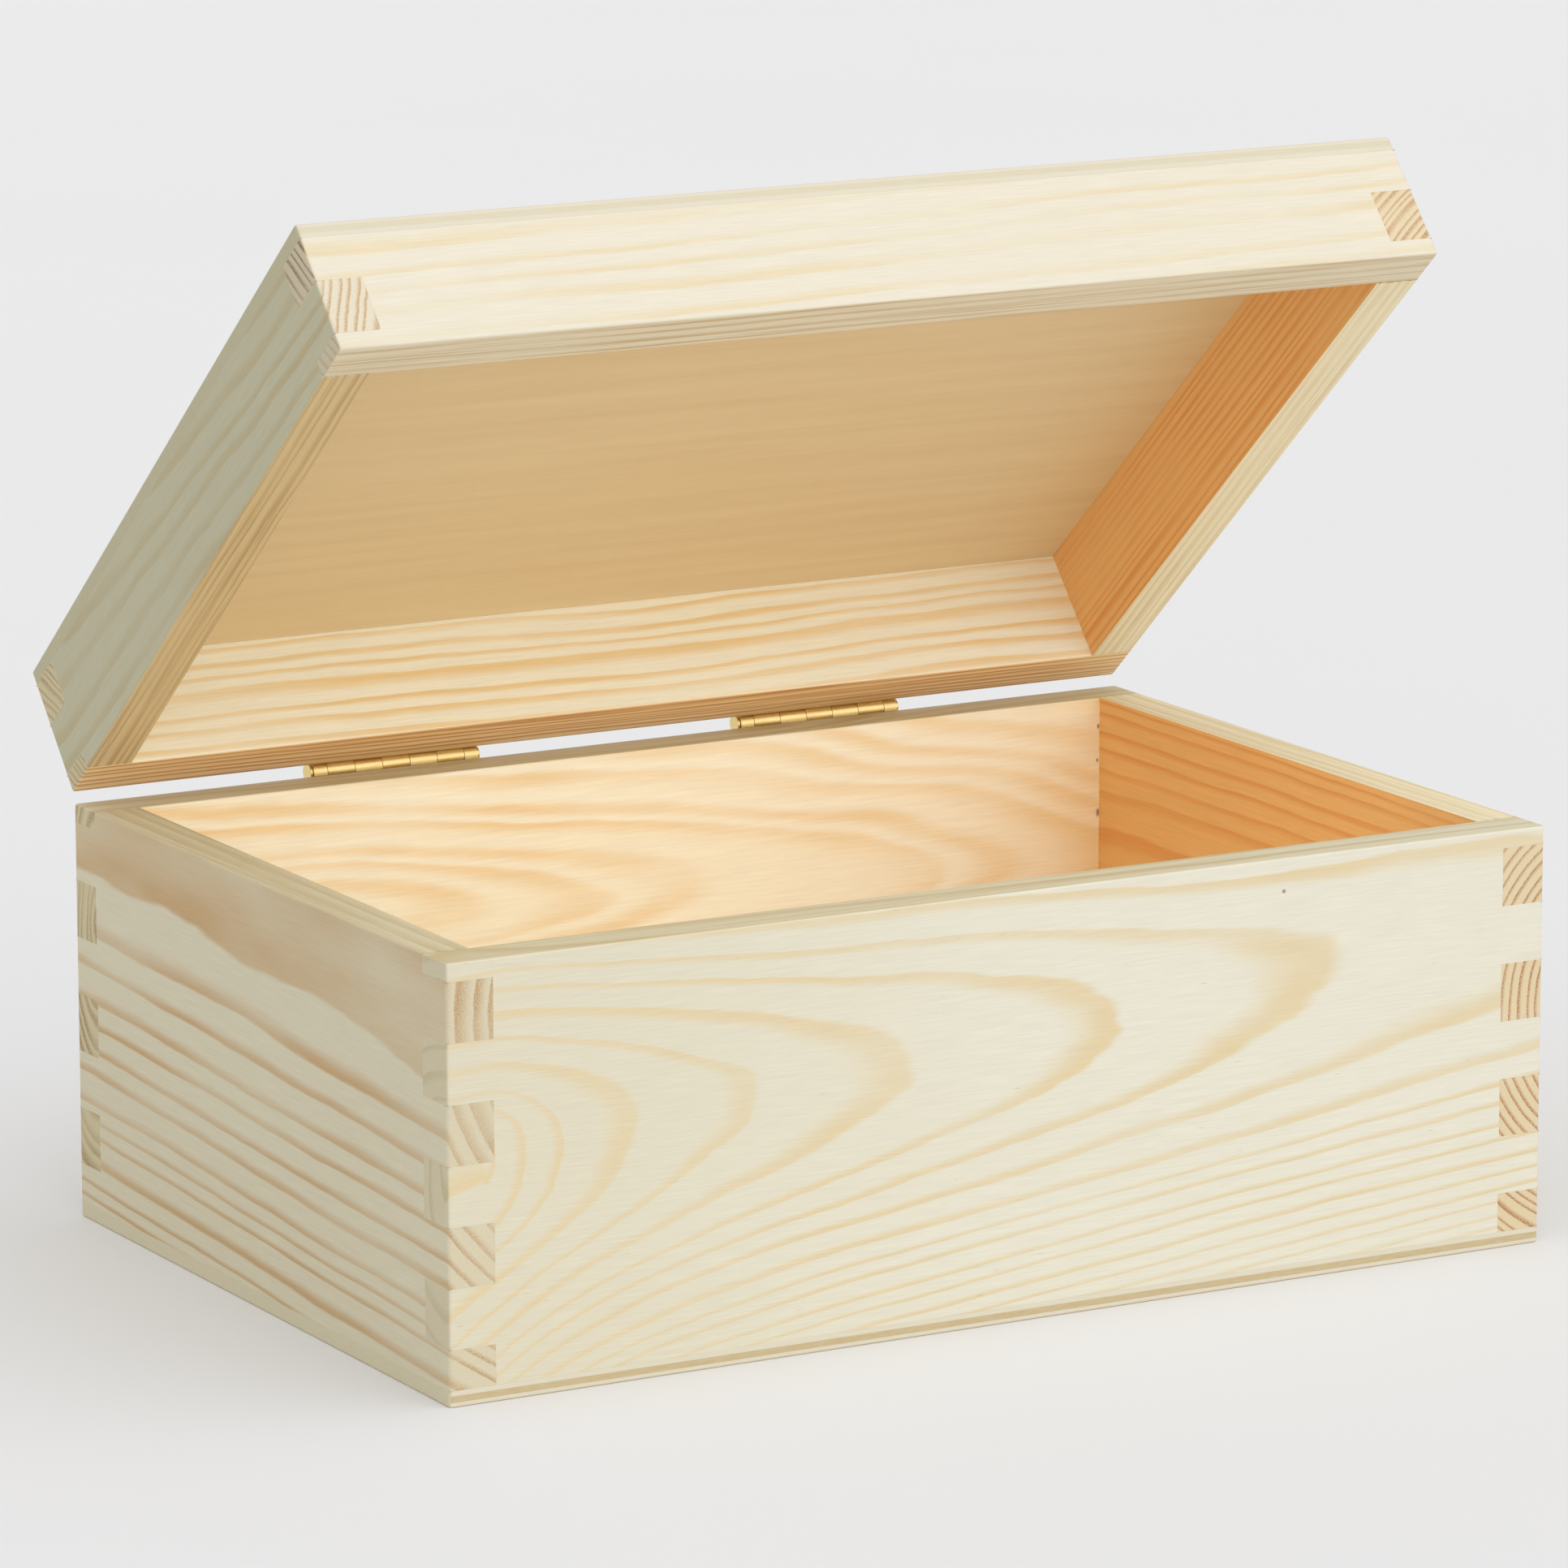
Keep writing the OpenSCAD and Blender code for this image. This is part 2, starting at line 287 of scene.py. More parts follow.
def rings_deep(tree, look, u, w):
    """How far a place is behind the pith, in rings."""
    ring_mm = look["ring_mm"]
    deep = add(tree, "Math", w, look["through"] / ring_mm, look["pith_depth"] / ring_mm,
               operation="MULTIPLY_ADD")
    deep = add(tree, "Math", u, look["taper"] / ring_mm, deep, operation="MULTIPLY_ADD")
    if "swell" not in look:
        return deep
    start, length, power, depth = look["swell"]
    run = add(tree, "Math", u, -start, operation="ADD")
    run = add(tree, "Math", run, 0.0, operation="MAXIMUM")
    run = add(tree, "Math", run, 1 / length, 1.0, operation="MULTIPLY_ADD")
    dive = add(tree, "Math", run, power, operation="POWER")
    dive = add(tree, "Math", dive, depth / power, -depth / power, operation="MULTIPLY_ADD")
    return add(tree, "Math", deep, dive, operation="ADD")


def ring_number(tree, look, u, v, w, strays):
    """The ring that a place is in, counted from the pith, with wide years and narrow ones."""
    up, deep = rings_up(tree, look, u, v), rings_deep(tree, look, u, w)
    squares = add(tree, "Math", deep, deep, operation="MULTIPLY")
    squares = add(tree, "Math", up, up, squares, operation="MULTIPLY_ADD")
    rings = add(tree, "Math", squares, operation="SQRT")
    rings = add(tree, "Math", rings, strays, operation="ADD")
    years = add(tree, "TexNoise", named={"W": rings, "Scale": 0.55, "Detail": 0.0},
                noise_dimensions="1D")
    return add(tree, "Math", years, look["uneven"], rings, operation="MULTIPLY_ADD")


def latewood(tree, look, rings, drift):
    """How much of a place is latewood, from none to all. It comes on slowly and ends sharply."""
    phase = add(tree, "Math", rings, operation="FRACT")
    starts, full, ends = look["late"]
    if "first" in look:                         # the ring nearest the pith is nearly all latewood
        number, wide = look["first"]
        starts = add(tree, "MapRange", rings, number, number + 0.1, wide, starts)
    rising = add(tree, "MapRange", phase, starts, full, 0.0, 1.0, interpolation_type="SMOOTHSTEP")
    falling = add(tree, "MapRange", phase, ends, 1.0, 1.0, 0.0, interpolation_type="SMOOTHSTEP")
    late = add(tree, "Math", rising, falling, operation="MULTIPLY")
    faint = add(tree, "TexNoise", drift, named={"Scale": 1.7, "Detail": 1.0})
    strength = add(tree, "MapRange", faint, 0.35, 0.65, 1 - look["patchy"], 1.0)
    return add(tree, "Math", late, strength, operation="MULTIPLY")


# %% [markdown]
# ### Colouring the wood
# The outer faces, the inner faces, the rims and the end grain each have their own three tones: two for
# earlywood, blended in slow clouds, and one for latewood. Sanded end grain takes up light differently
# from the faces. The other sets hold painted light: painted bounce light and painted shade on the inner
# faces, and painted shade on the end boards' outer faces and on some rims. Masks say where each shows.
# Resin canals and the odd pin knot come last, because they cross the rings.

# %% Colours of the wood
RESIN, KNOT = "#c98f4a", "#7a4d26"


def side_masks(tree, along, w, facing):
    """Where the board shows its inner side, its rim and its end grain, over its outer side."""
    edge_on = add(tree, "Math", facing["Z"], operation="ABSOLUTE")
    end_on = add(tree, "Math", facing[along], operation="ABSOLUTE")
    return dict(
        outside=None,
        # the inner side takes the inside tones: painted bounce light and painted shade
        inside=add(tree, "MapRange", w, BOARD * 0.8, BOARD * 0.97, interpolation_type="SMOOTHSTEP"),
        rim=add(tree, "MapRange", edge_on, 0.55, 0.85, interpolation_type="SMOOTHSTEP"),
        end=add(tree, "MapRange", end_on, 0.55, 0.85, interpolation_type="SMOOTHSTEP"))


def layered(tree, layers):
    """Lays blends of two colours over each other, as (mask, share of the second, first, second)."""
    colour = None
    for mask, share, first, second in layers:
        blend = add(tree, "Mix", share, named={MIX_A: first, MIX_B: second},
                    data_type="RGBA", out=2)
        if mask is not None:
            blend = add(tree, "Mix", mask, named={MIX_A: colour, MIX_B: blend},
                        data_type="RGBA", out=2)
        colour = blend
    return colour


def wood_colour(tree, look, point, u, late, masks):
    """The wood's colour on all its sides, without canals and knots."""
    pores = add(tree, "TexNoise", point, named={"Scale": 2.2, "Detail": 2.0})
    broken = add(tree, "MapRange", pores, 0.35, 0.6, 0.45, 1.0)
    streak_at = own_waves(tree, look, point, (0, 0, 1), (1 / 90, 1 / 1.1, 1 / 1.1))
    streak = add(tree, "TexNoise", streak_at, named={"Scale": 1.0, "Detail": 2.0})
    streaks = add(tree, "MapRange", streak, 0.5, 0.7, 0.0, 0.7, interpolation_type="SMOOTHSTEP")
    cloud_at = own_waves(tree, look, point, (0, 1, 0), (1 / 120, 1 / 30, 1 / 30))
    cloud = add(tree, "TexNoise", cloud_at, named={"Scale": 1.0, "Detail": 2.0})
    if "fade" in look:                          # deeper towards one end: painted shade into the back board's inner right corner, and darker towards the front board's left end
        towards = add(tree, "MapRange", u, *look["fade"], 0.75, 0.0,
                      interpolation_type="SMOOTHSTEP")
        cloud = add(tree, "Math", cloud, 0.4, towards, operation="MULTIPLY_ADD")
    late_at = dict(outside=late, inside=late,
                   rim=add(tree, "Math", late, streaks, operation="MAXIMUM"),
                   end=add(tree, "Math", late, broken, operation="MULTIPLY"))
    layers = []
    for side, mask in masks.items():
        early, deeper, latest = map(linear, look["tones"][side])
        layers.append((mask, late_at[side], layered(tree, [(None, cloud, early, deeper)]), latest))
    return layered(tree, layers)


def canals_and_knots(tree, look, point, colour):
    """Short resin canals along the grain, and small dark knots where the board has them."""
    canal = add(tree, "TexNoise", own_waves(tree, look, point, (1, 0, 0), (1 / 5.5, 1.6, 1.6)),
                named={"Scale": 1.0, "Detail": 1.0})
    canals = add(tree, "MapRange", canal, 0.74, 0.8, interpolation_type="SMOOTHSTEP")
    fleck = add(tree, "Math", canals, look["flecks"], operation="MULTIPLY")
    colour = layered(tree, [(None, fleck, colour, linear(RESIN))])
    for at, size in look.get("marks", ()):
        off = add(tree, "Mapping", point, tuple(-a / b for a, b in zip(at, size)), None,
                  tuple(1 / b for b in size))
        far = add(tree, "VectorMath", off, operation="LENGTH", out=1)
        spot = add(tree, "MapRange", far, 0.3, 1.0, 0.75, 0.0, interpolation_type="SMOOTHSTEP")
        colour = layered(tree, [(None, spot, colour, linear(KNOT))])
    return colour


# %% The pine material


def pine(name, along, outer, look, lid=False):
    """Bare sanded pine. along is the grain's axis, outer the (axis, place) of the outer face."""
    # sanding leaves it matt and slightly furry; hard latewood stands proud and shines a little more
    material, tree, shader = new_material(name)
    axes = add(tree, "SeparateXYZ", shut_place(tree, lid)).node.outputs
    across, at = outer
    inwards = 1 if at < 0 else -1
    u, v = axes[along], axes["Z"]               # along the grain, upwards, and w into the board
    w = add(tree, "Math", axes[across], float(inwards), float(-inwards * at),
            operation="MULTIPLY_ADD")
    point = add(tree, "CombineXYZ", u, w, v)
    drift = own_waves(tree, look, point, (1.7, 3.1, 2.3), (1 / 110, 1 / 45, 1 / 34))
    rings = ring_number(tree, look, u, v, w, wander(tree, look, point, drift))
    late = latewood(tree, look, rings, drift)
    masks = side_masks(tree, along, w, shut_facing(tree, lid))
    colour = wood_colour(tree, look, point, u, late, masks)
    colour = canals_and_knots(tree, look, point, colour)
    fibre = add(tree, "TexNoise", own_waves(tree, look, point, (0, 0, 0), (1 / 14, 2.2, 2.2)),
                named={"Scale": 1.0, "Detail": 3.0, "Roughness": 0.6})
    shade = add(tree, "MapRange", fibre, 0.3, 0.7, 0.94, 1.03)
    colour = add(tree, "VectorMath", colour, add(tree, "CombineXYZ", shade, shade, shade),
                 operation="MULTIPLY")
    tree.links.new(colour, shader.inputs["Base Color"])
    tree.links.new(add(tree, "MapRange", late, 0.0, 1.0, 0.62, 0.5), shader.inputs["Roughness"])
    shader.inputs["Specular IOR Level"].default_value = 0.35
    relief = add(tree, "Math", late, 0.35, fibre, operation="MULTIPLY_ADD")
    bump = add(tree, "Bump", named={"Strength": 0.35, "Distance": 0.06 * MM, "Height": relief})
    tree.links.new(bump, shader.inputs["Normal"])
    return material


# %% [markdown]
# ## Boards with fingers
# Each corner is a finger joint: a row of square fingers, cut on one machine pass and glued. A board
# could be a box with blocks cut away, but its outline is simple, so it is drawn once, stepped at both
# ends, and pulled to the board's thickness. Each edge then carries its own bevel weight. The upright
# corners of the glued box are sanded round, the rims a little less, and every other edge only as much
# as any edge is, which leaves the fine lines that show where two boards meet.

# %% Finger heights and the stepped outline
FINGER, RIM_FINGER = 14.4, 4.5                  # a finger's height, and the short one at the rim
CORNER_R, RIM_R, EASED = 1.0, 0.6, 0.05
TOUCH = 0.01                                    # places closer than this are the same place


def end_fingers(rim, direction, depth):
    """The end boards' fingers as (low, high), counted from the rim in the given direction."""
    fingers, near = [], RIM_FINGER
    while near < depth:
        far = min(near + FINGER, depth)
        fingers.append(tuple(sorted((rim + direction * near, rim + direction * far))))
        near += 2 * FINGER
    return fingers


BASE_FINGERS = end_fingers(BASE_RIM, -1, BASE_RIM - PANEL)
LID_FINGERS = end_fingers(LID_RIM, 1, LID_FRAME_TOP - LID_RIM)


def stepped_end(low, high, fingers, plain, at_finger):
    """One end of a board, upwards, as (distance from the middle, height)."""
    heights = sorted({low, high, *(h for finger in fingers for h in finger)})
    points = []
    for a, b in zip(heights, heights[1:]):
        middle = (a + b) / 2
        reach = at_finger if any(f[0] < middle < f[1] for f in fingers) else plain
        points += [(reach, a), (reach, b)]
    return points


def ease(bm, rims):
    """Gives each edge the share of the corner radius that the finished box has there."""
    weights = bm.edges.layers.float.new("bevel_weight_edge")
    for edge in bm.edges:
        ends = [v.co for v in edge.verts]
        on_end = all(abs(abs(p.x) - LENGTH / 2) < TOUCH for p in ends)
        on_side = all(abs(abs(p.y) - WIDTH / 2) < TOUCH for p in ends)
        on_rim = any(all(abs(p.z - rim) < TOUCH for p in ends) for rim in rims)
        upright = (ends[0] - ends[1]).xy.length < TOUCH
        if upright and on_end and on_side:
            edge[weights] = 1.0
        elif on_rim and (on_end or on_side):
            edge[weights] = RIM_R / CORNER_R
        elif edge.is_convex:
            edge[weights] = EASED / CORNER_R


def finish_piece(name, bm, material, body, node, lid):
    """Makes a shape drawn in millimetres, lid shut, into a piece of the box."""
    place = (swing_up if lid else Matrix.Identity(4)) @ Matrix.Scale(MM, 4)
    bmesh.ops.transform(bm, matrix=place, verts=bm.verts)
    for face in bm.faces:
        face.smooth = True
    mesh = bpy.data.meshes.new(name)
    bm.to_mesh(mesh)
    bm.free()
    mesh.materials.append(material)
    piece = bpy.data.objects.new(name, mesh)
    bpy.context.scene.collection.objects.link(piece)
    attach(piece, body)
    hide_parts(node)
    return piece


def round_edges(piece):
    """A bevel modifier that follows the edges' weights."""
    bevel = piece.modifiers.new("eased edges", "BEVEL")
    bevel.limit_method = "WEIGHT"
    bevel.width, bevel.segments, bevel.profile = CORNER_R * MM, 4, 0.5
    bevel.use_clamp_overlap = False
    bevel.harden_normals = True


def board(name, side, low, high, fingers, rims, material, body, node):
    """A frame's board. side is front, back, left or right."""
    long_one = side in ("front", "back")
    half = (LENGTH if long_one else WIDTH) / 2
    plain, at_finger = (half, half - BOARD) if long_one else (half - BOARD, half)
    right = stepped_end(low, high, fingers, plain, at_finger)
    bm = bmesh.new()
    outline = right + [(-reach, height) for reach, height in reversed(right)]
    face = bm.faces.new([bm.verts.new((reach, 0, height)) for reach, height in outline])
    grown = bmesh.ops.extrude_face_region(bm, geom=[face])["geom"]
    bmesh.ops.translate(bm, verts=[g for g in grown if isinstance(g, bmesh.types.BMVert)],
                        vec=(0, BOARD, 0))
    turn = {"front": 0, "right": 90, "back": 180, "left": 270}[side]
    out = (WIDTH if long_one else LENGTH) / 2
    bmesh.ops.translate(bm, verts=bm.verts, vec=(0, -out, 0))
    bmesh.ops.rotate(bm, verts=bm.verts, cent=(0, 0, 0),
                     matrix=Matrix.Rotation(math.radians(turn), 3, "Z"))
    bmesh.ops.recalc_face_normals(bm, faces=bm.faces)
    ease(bm, rims)
    round_edges(finish_piece(name, bm, material, body, node, body == "lid"))


# %% [markdown]
# ## The looks of the eight boards
# No two boards are alike. The front board was sawn close to the outside of the tree and shows tall
# arches; the ends were sawn with the pith beside them. The tones carry painted light: the inner faces
# are pale and warm with painted bounce light, the right boards' inner faces deep orange with painted
# shade, the end boards' outer faces darker with painted shade, and the base's front, back and left rims
# greyer with painted shade.
#
# Each look gives the pith's height and slope, the ring spacing and the pith's depth, all in
# millimetres; how many times closer the rings lie in depth, and how the pith's depth changes along
# the board; how far the rings wander, slowly and quickly, and how uneven their years are; where
# latewood starts, is full and ends within a ring; and how patchy and how flecked the board is.
# Some looks add more. swell is where the pith starts to dive, over what length, how steeply and how
# deep. below is how the rings crowd under the pith: their scale, their power, and the share, reach
# and end of the fan. first is the ring next to the pith. fade is where the board goes from deeper in
# tone to its plain tone: on the back board that is painted shade into the inner right corner. A mark is
# a small knot, with its place and its size along, into and up the board.

# %% Tones and grain of each board
FRONT = ("#e9e5d3", "#dfd7bd", "#e3d0a6")
BACK = ("#e9e5d3", "#dfd7bd", "#e0cda4")
# outer faces of the end boards: painted shade, darker and greener than the front and back
SIDE_PAINTED_SHADE = ("#dad3b8", "#d3caad", "#c3a271")
LID_FRONT = ("#e8e0cc", "#e5ddc7", "#e5d5b1")
# outer face of the lid's left end board: painted shade, darker still
LID_SIDE_PAINTED_SHADE = ("#c0bb9d", "#bab597", "#b5a780")
# inner faces: painted light, pale and warm from light bounced inside the box
WARM_PAINTED_LIGHT = ("#fffae8", "#fff2d8", "#f5d8a4")
HONEY_PAINTED_LIGHT = ("#fffbe6", "#fde7be", "#f7dcaa")
# inner faces of the right boards: deep orange painted shade with painted bounce light
AMBER_PAINTED_SHADE = ("#f5c483", "#f1b66f", "#e9a25b")
STRIPED_PAINTED_LIGHT = ("#fffdea", "#fff7dc", "#f8dba2")
# greyer than the faces: painted shade on the base's front, back and left rims
RIM_PAINTED_SHADE = ("#dcd5ba", "#d5ccac", "#c8b88d")
RIM_WARM = ("#f7dba6", "#eec892", "#b87a3e")
RIM_GOLD = ("#dcc698", "#d3b987", "#bf9f6c")
RIM_CREAM = ("#f4e9c8", "#eddfb6", "#dfcda2")
RIM_LIT = ("#e6dcc2", "#ddd0b0", "#c9b084")
END_FAINT = ("#d4cdb1", "#cec4a5", "#bfb18b")
END_LEFT = ("#ddd3b8", "#d6c9a8", "#b9935f")
END_RED = ("#cbc1a4", "#c4b897", "#7f5233")
END_RIGHT = ("#e6d6b2", "#ddc99f", "#ad6a34")
END_SOFT = ("#e6ddc6", "#ddd1b5", "#c3a072")
END_DARK = ("#d0c49d", "#c5b68c", "#977a50")

LOOKS = {
    "base_front": dict(
        seed=3.1, pith=(73.5, 0.082), ring_mm=5.2, through=1.0, pith_depth=-1.2, taper=0.0,
        swell=(-141, 8, 0.05, 2.05), below=(11.7, 1.5, 0.35, 25, -150),
        wave=(0.5, 0.12), uneven=0.6, late=(0.58, 0.88, 0.92), patchy=0.4, flecks=0.35,
        fade=(-170, 30), marks=[((75, 0, 96.5), (0.7, 3, 0.7))],
        tones=dict(outside=FRONT, inside=WARM_PAINTED_LIGHT, rim=RIM_PAINTED_SHADE, end=END_FAINT)),
    "base_back": dict(
        seed=7.7, pith=(68.5, -0.06), ring_mm=5.6, through=2.5, pith_depth=-30.0, taper=0.0,
        swell=(-95, 38, 1.0, 1.0),
        wave=(1.5, 0.22), uneven=1.0, late=(0.05, 0.66, 0.7), patchy=0.7, flecks=0.1,
        # painted shade, deepening towards the inner right corner
        fade=(165, 90),
        marks=[((137.6, 12, 74), (0.7, 3, 1.6)), ((137.4, 12, 88), (0.5, 3, 0.8)),
               ((137.6, 12, 97), (0.5, 3, 1.0))],
        tones=dict(outside=BACK, inside=HONEY_PAINTED_LIGHT, rim=RIM_PAINTED_SHADE, end=END_DARK)),
    "base_left": dict(
        seed=1.3, pith=(97, 0.05), ring_mm=4.2, through=-1.0, pith_depth=63.5, taper=0.0,
        wave=(0.4, 0.12), uneven=0.6, late=(0.5, 0.88, 0.9), patchy=0.5, flecks=0.1,
        first=(16.1, 0.02),
        tones=dict(outside=SIDE_PAINTED_SHADE, inside=WARM_PAINTED_LIGHT, rim=RIM_PAINTED_SHADE, end=END_LEFT)),
    "base_right": dict(
        seed=5.9, pith=(62, 0.02), ring_mm=2.5, through=1.0, pith_depth=30.0, taper=0.01,
        wave=(0.5, 0.12), uneven=0.6, late=(0.5, 0.88, 0.92), patchy=0.3, flecks=0.1,
        tones=dict(outside=SIDE_PAINTED_SHADE, inside=AMBER_PAINTED_SHADE, rim=RIM_CREAM, end=END_RIGHT)),
    "lid_front": dict(
        seed=11.3, pith=(270, 0.0), ring_mm=4.4, through=2.0, pith_depth=160.0, taper=0.02,
        wave=(0.6, 0.12), uneven=0.6, late=(0.45, 0.85, 0.9), patchy=0.7, flecks=0.1,
        tones=dict(outside=LID_FRONT, inside=WARM_PAINTED_LIGHT, rim=RIM_LIT, end=END_RED)),
    "lid_back": dict(
        seed=13.7, pith=(10, 0.0), ring_mm=3.5, through=3.0, pith_depth=50.0, taper=0.0,
        wave=(0.9, 0.2), uneven=1.0, late=(0.35, 0.8, 0.86), patchy=0.5, flecks=0.1,
        tones=dict(outside=FRONT, inside=STRIPED_PAINTED_LIGHT, rim=RIM_WARM, end=END_DARK)),
    "lid_left": dict(
        seed=17.1, pith=(182, 0.0), ring_mm=3.6, through=1.7, pith_depth=110.0, taper=0.04,
        wave=(0.9, 0.25), uneven=1.0, late=(0.4, 0.8, 0.88), patchy=0.6, flecks=0.1,
        tones=dict(outside=LID_SIDE_PAINTED_SHADE, inside=WARM_PAINTED_LIGHT, rim=RIM_GOLD, end=END_SOFT)),
    "lid_right": dict(
        seed=19.9, pith=(30, 0.0), ring_mm=1.8, through=1.0, pith_depth=60.0, taper=0.01,
        wave=(0.4, 0.12), uneven=0.9, late=(0.35, 0.75, 0.86), patchy=0.75, flecks=0.1,
        tones=dict(outside=SIDE_PAINTED_SHADE, inside=AMBER_PAINTED_SHADE, rim=RIM_CREAM, end=END_RIGHT)),
}
OUTER_FACE = {"front": ("Y", -WIDTH / 2), "back": ("Y", WIDTH / 2),
              "left": ("X", -LENGTH / 2), "right": ("X", LENGTH / 2)}

# %% Build the boards
for body in ("base", "lid"):
    low, high = (PANEL, BASE_RIM) if body == "base" else (LID_RIM, LID_FRAME_TOP)
    rim = BASE_RIM if body == "base" else LID_RIM
    fingers = BASE_FINGERS if body == "base" else LID_FINGERS
    for side, outer in OUTER_FACE.items():
        long_one = side in ("front", "back")
        wood = pine(f"sanded pine, {body} {side}", "X" if long_one else "Y", outer,
                    LOOKS[f"{body}_{side}"], body == "lid")
        board(f"{body}_{side}_pine", side, low, high, fingers, [rim], wood, body,
              f"{body}_{side}_board")
print("boards:", 8, "fingers per corner:", len(BASE_FINGERS), len(LID_FINGERS))

# %% [markdown]
# ## Plywood panels
# The panels are three-ply: two thin face veneers with their grain along the box, and a thicker core
# with its grain across it. Seen from the side, the core shows as a darker stripe. Three thin solids
# could be stacked, but the plies never part, so one solid with a stripe in its material is enough.

# %% The plywood material
VENEER = 1.2


def plywood(name, low, lid, tones):
    """Three-ply, laid flat from height low."""
    # rotary-cut veneer, sanded: broad soft figure and a flat matt face, plainer than the boards
    material, tree, shader = new_material(name)
    place = shut_place(tree, lid)
    facing = shut_facing(tree, lid)
    height = add(tree, "SeparateXYZ", place, out="Z")
    off_middle = add(tree, "Math", height, -(low + PANEL / 2), operation="ADD")
    off_middle = add(tree, "Math", off_middle, operation="ABSOLUTE")
    core = add(tree, "MapRange", off_middle, PANEL / 2 - VENEER + 0.05, PANEL / 2 - VENEER - 0.05)
    at_end = add(tree, "MapRange", add(tree, "Math", facing["X"], operation="ABSOLUTE"), 0.5, 0.8)
    flat = add(tree, "MapRange", add(tree, "Math", facing["Z"], operation="ABSOLUTE"), 0.5, 0.8)
    figure_at = add(tree, "Mapping", place, named={"Scale": (1 / 90, 1 / 5, 1 / 5)})
    figure = add(tree, "TexNoise", figure_at, named={"Scale": 1.0, "Detail": 3.0, "Distortion": 0.4})
    fibre_at = add(tree, "Mapping", place, named={"Scale": (1 / 10, 1.8, 3)})
    fibre = add(tree, "TexNoise", fibre_at, named={"Scale": 1.0, "Detail": 3.0})
    edge_at = add(tree, "Mapping", place, named={"Scale": (1 / 3, 1 / 3, 3)})
    edge_grain = add(tree, "TexNoise", edge_at, named={"Scale": 1.0, "Detail": 3.0})
    parts = (("skin", None, edge_grain), ("core", core, edge_grain), ("end", at_end, edge_grain),
             ("face", flat, figure))
    colour = layered(tree, [(mask, grain, *map(linear, tones[part]))
                            for part, mask, grain in parts])
    shade = add(tree, "MapRange", fibre, 0.25, 0.75, 0.97, 1.02)
    colour = add(tree, "VectorMath", colour, add(tree, "CombineXYZ", shade, shade, shade),
                 operation="MULTIPLY")
    tree.links.new(colour, shader.inputs["Base Color"])
    shader.inputs["Roughness"].default_value = 0.6
    shader.inputs["Specular IOR Level"].default_value = 0.35
    bump = add(tree, "Bump", named={"Strength": 0.25, "Distance": 0.05 * MM, "Height": fibre})
    tree.links.new(bump, shader.inputs["Normal"])
    return material


# %% Tones of the plywood, and the panels
PLY_TONES = dict(
    base=dict(face=("#efdfb6", "#e3c994"), skin=("#e2dbc7", "#ddd4bc"), core=("#c3a97a", "#d4c5a0"),
              # the panel's ends: painted shade like the end boards' outer faces, over the ply's end
              # grain
              end=("#d8d0b4", "#cdc3a2")),
    lid=dict(face=("#e8d6ae", "#dbc294"), skin=("#dfd8c4", "#dbd3bd"), core=("#d6ccae", "#dad1b8"),
             # darker on the lid: painted shade like the lid's left end board, over the ply's end grain
             end=("#bfb99b", "#b3ac8a")))


def panel(name, low, outer, body, node):
    """A panel between two heights, with its outer long edges rounded."""
    bm = bmesh.new()
    bmesh.ops.create_cube(bm, size=1)
    bmesh.ops.scale(bm, verts=bm.verts, vec=(LENGTH, WIDTH, PANEL))
    bmesh.ops.translate(bm, verts=bm.verts, vec=(0, 0, low + PANEL / 2))
    ease(bm, [outer])
    veneer = plywood(f"sanded three-ply, {body}", low, body == "lid", PLY_TONES[body])
    round_edges(finish_piece(name, bm, veneer, body, node, body == "lid"))


panel("base_bottom_ply", 0, 0, "base", "base_bottom_panel")
panel("lid_top_ply", LID_FRAME_TOP, LID_TOP, "lid", "lid_top_panel")
print(f"panels: 2, {PANEL:.1f} mm thick, face veneers {VENEER} mm")

# %% [markdown]
# ## Brass
# Cheap butt hinges are pressed from rolled brass sheet and barrelled bright, so they shine softly and
# carry faint marks along the sheet. The screws are turned steel with a thin brass plating, which is
# a little greener. Metal gets its colour from what it reflects, so only its roughness and its fine
# relief are uneven.

# %% The brass material


def brass(name, tones, marks_mm, lid):
    """Brass with fine marks of the given lengths along the box, across it and upwards."""
    # bright from the barrel, so it mirrors softly, with a broken sheen along the way it was worked
    material, tree, shader = new_material(name)
    place = shut_place(tree, lid)
    marks_at = add(tree, "Mapping", place, named={"Scale": tuple(1 / m for m in marks_mm)})
    marks = add(tree, "TexNoise", marks_at, named={"Scale": 1.0, "Detail": 3.0})
    patches = add(tree, "TexNoise", place, named={"Scale": 0.35, "Detail": 2.0})
    tone = layered(tree, [(None, patches, *map(linear, tones))])
    tree.links.new(tone, shader.inputs["Base Color"])
    shader.inputs["Metallic"].default_value = 1.0
    tree.links.new(add(tree, "MapRange", marks, 0.3, 0.7, 0.22, 0.38), shader.inputs["Roughness"])
    bump = add(tree, "Bump", named={"Strength": 0.2, "Distance": 0.01 * MM, "Height": marks})
    tree.links.new(bump, shader.inputs["Normal"])
    return material


# %% [markdown]
# ## Rolled hinges
# A leaf is one strip of sheet. Its edge is cut into tongues, and each tongue is rolled around the pin
# into a knuckle that doesn't quite close. A plain tube beside a plate would be quicker to draw, but it
# would lose the seam and the bend where the sheet leaves the wood. So each tongue's end is spun
# around the axis, sheet and all. The countersunk holes are filled in with the flat and then narrowed
# on the side of the wood.

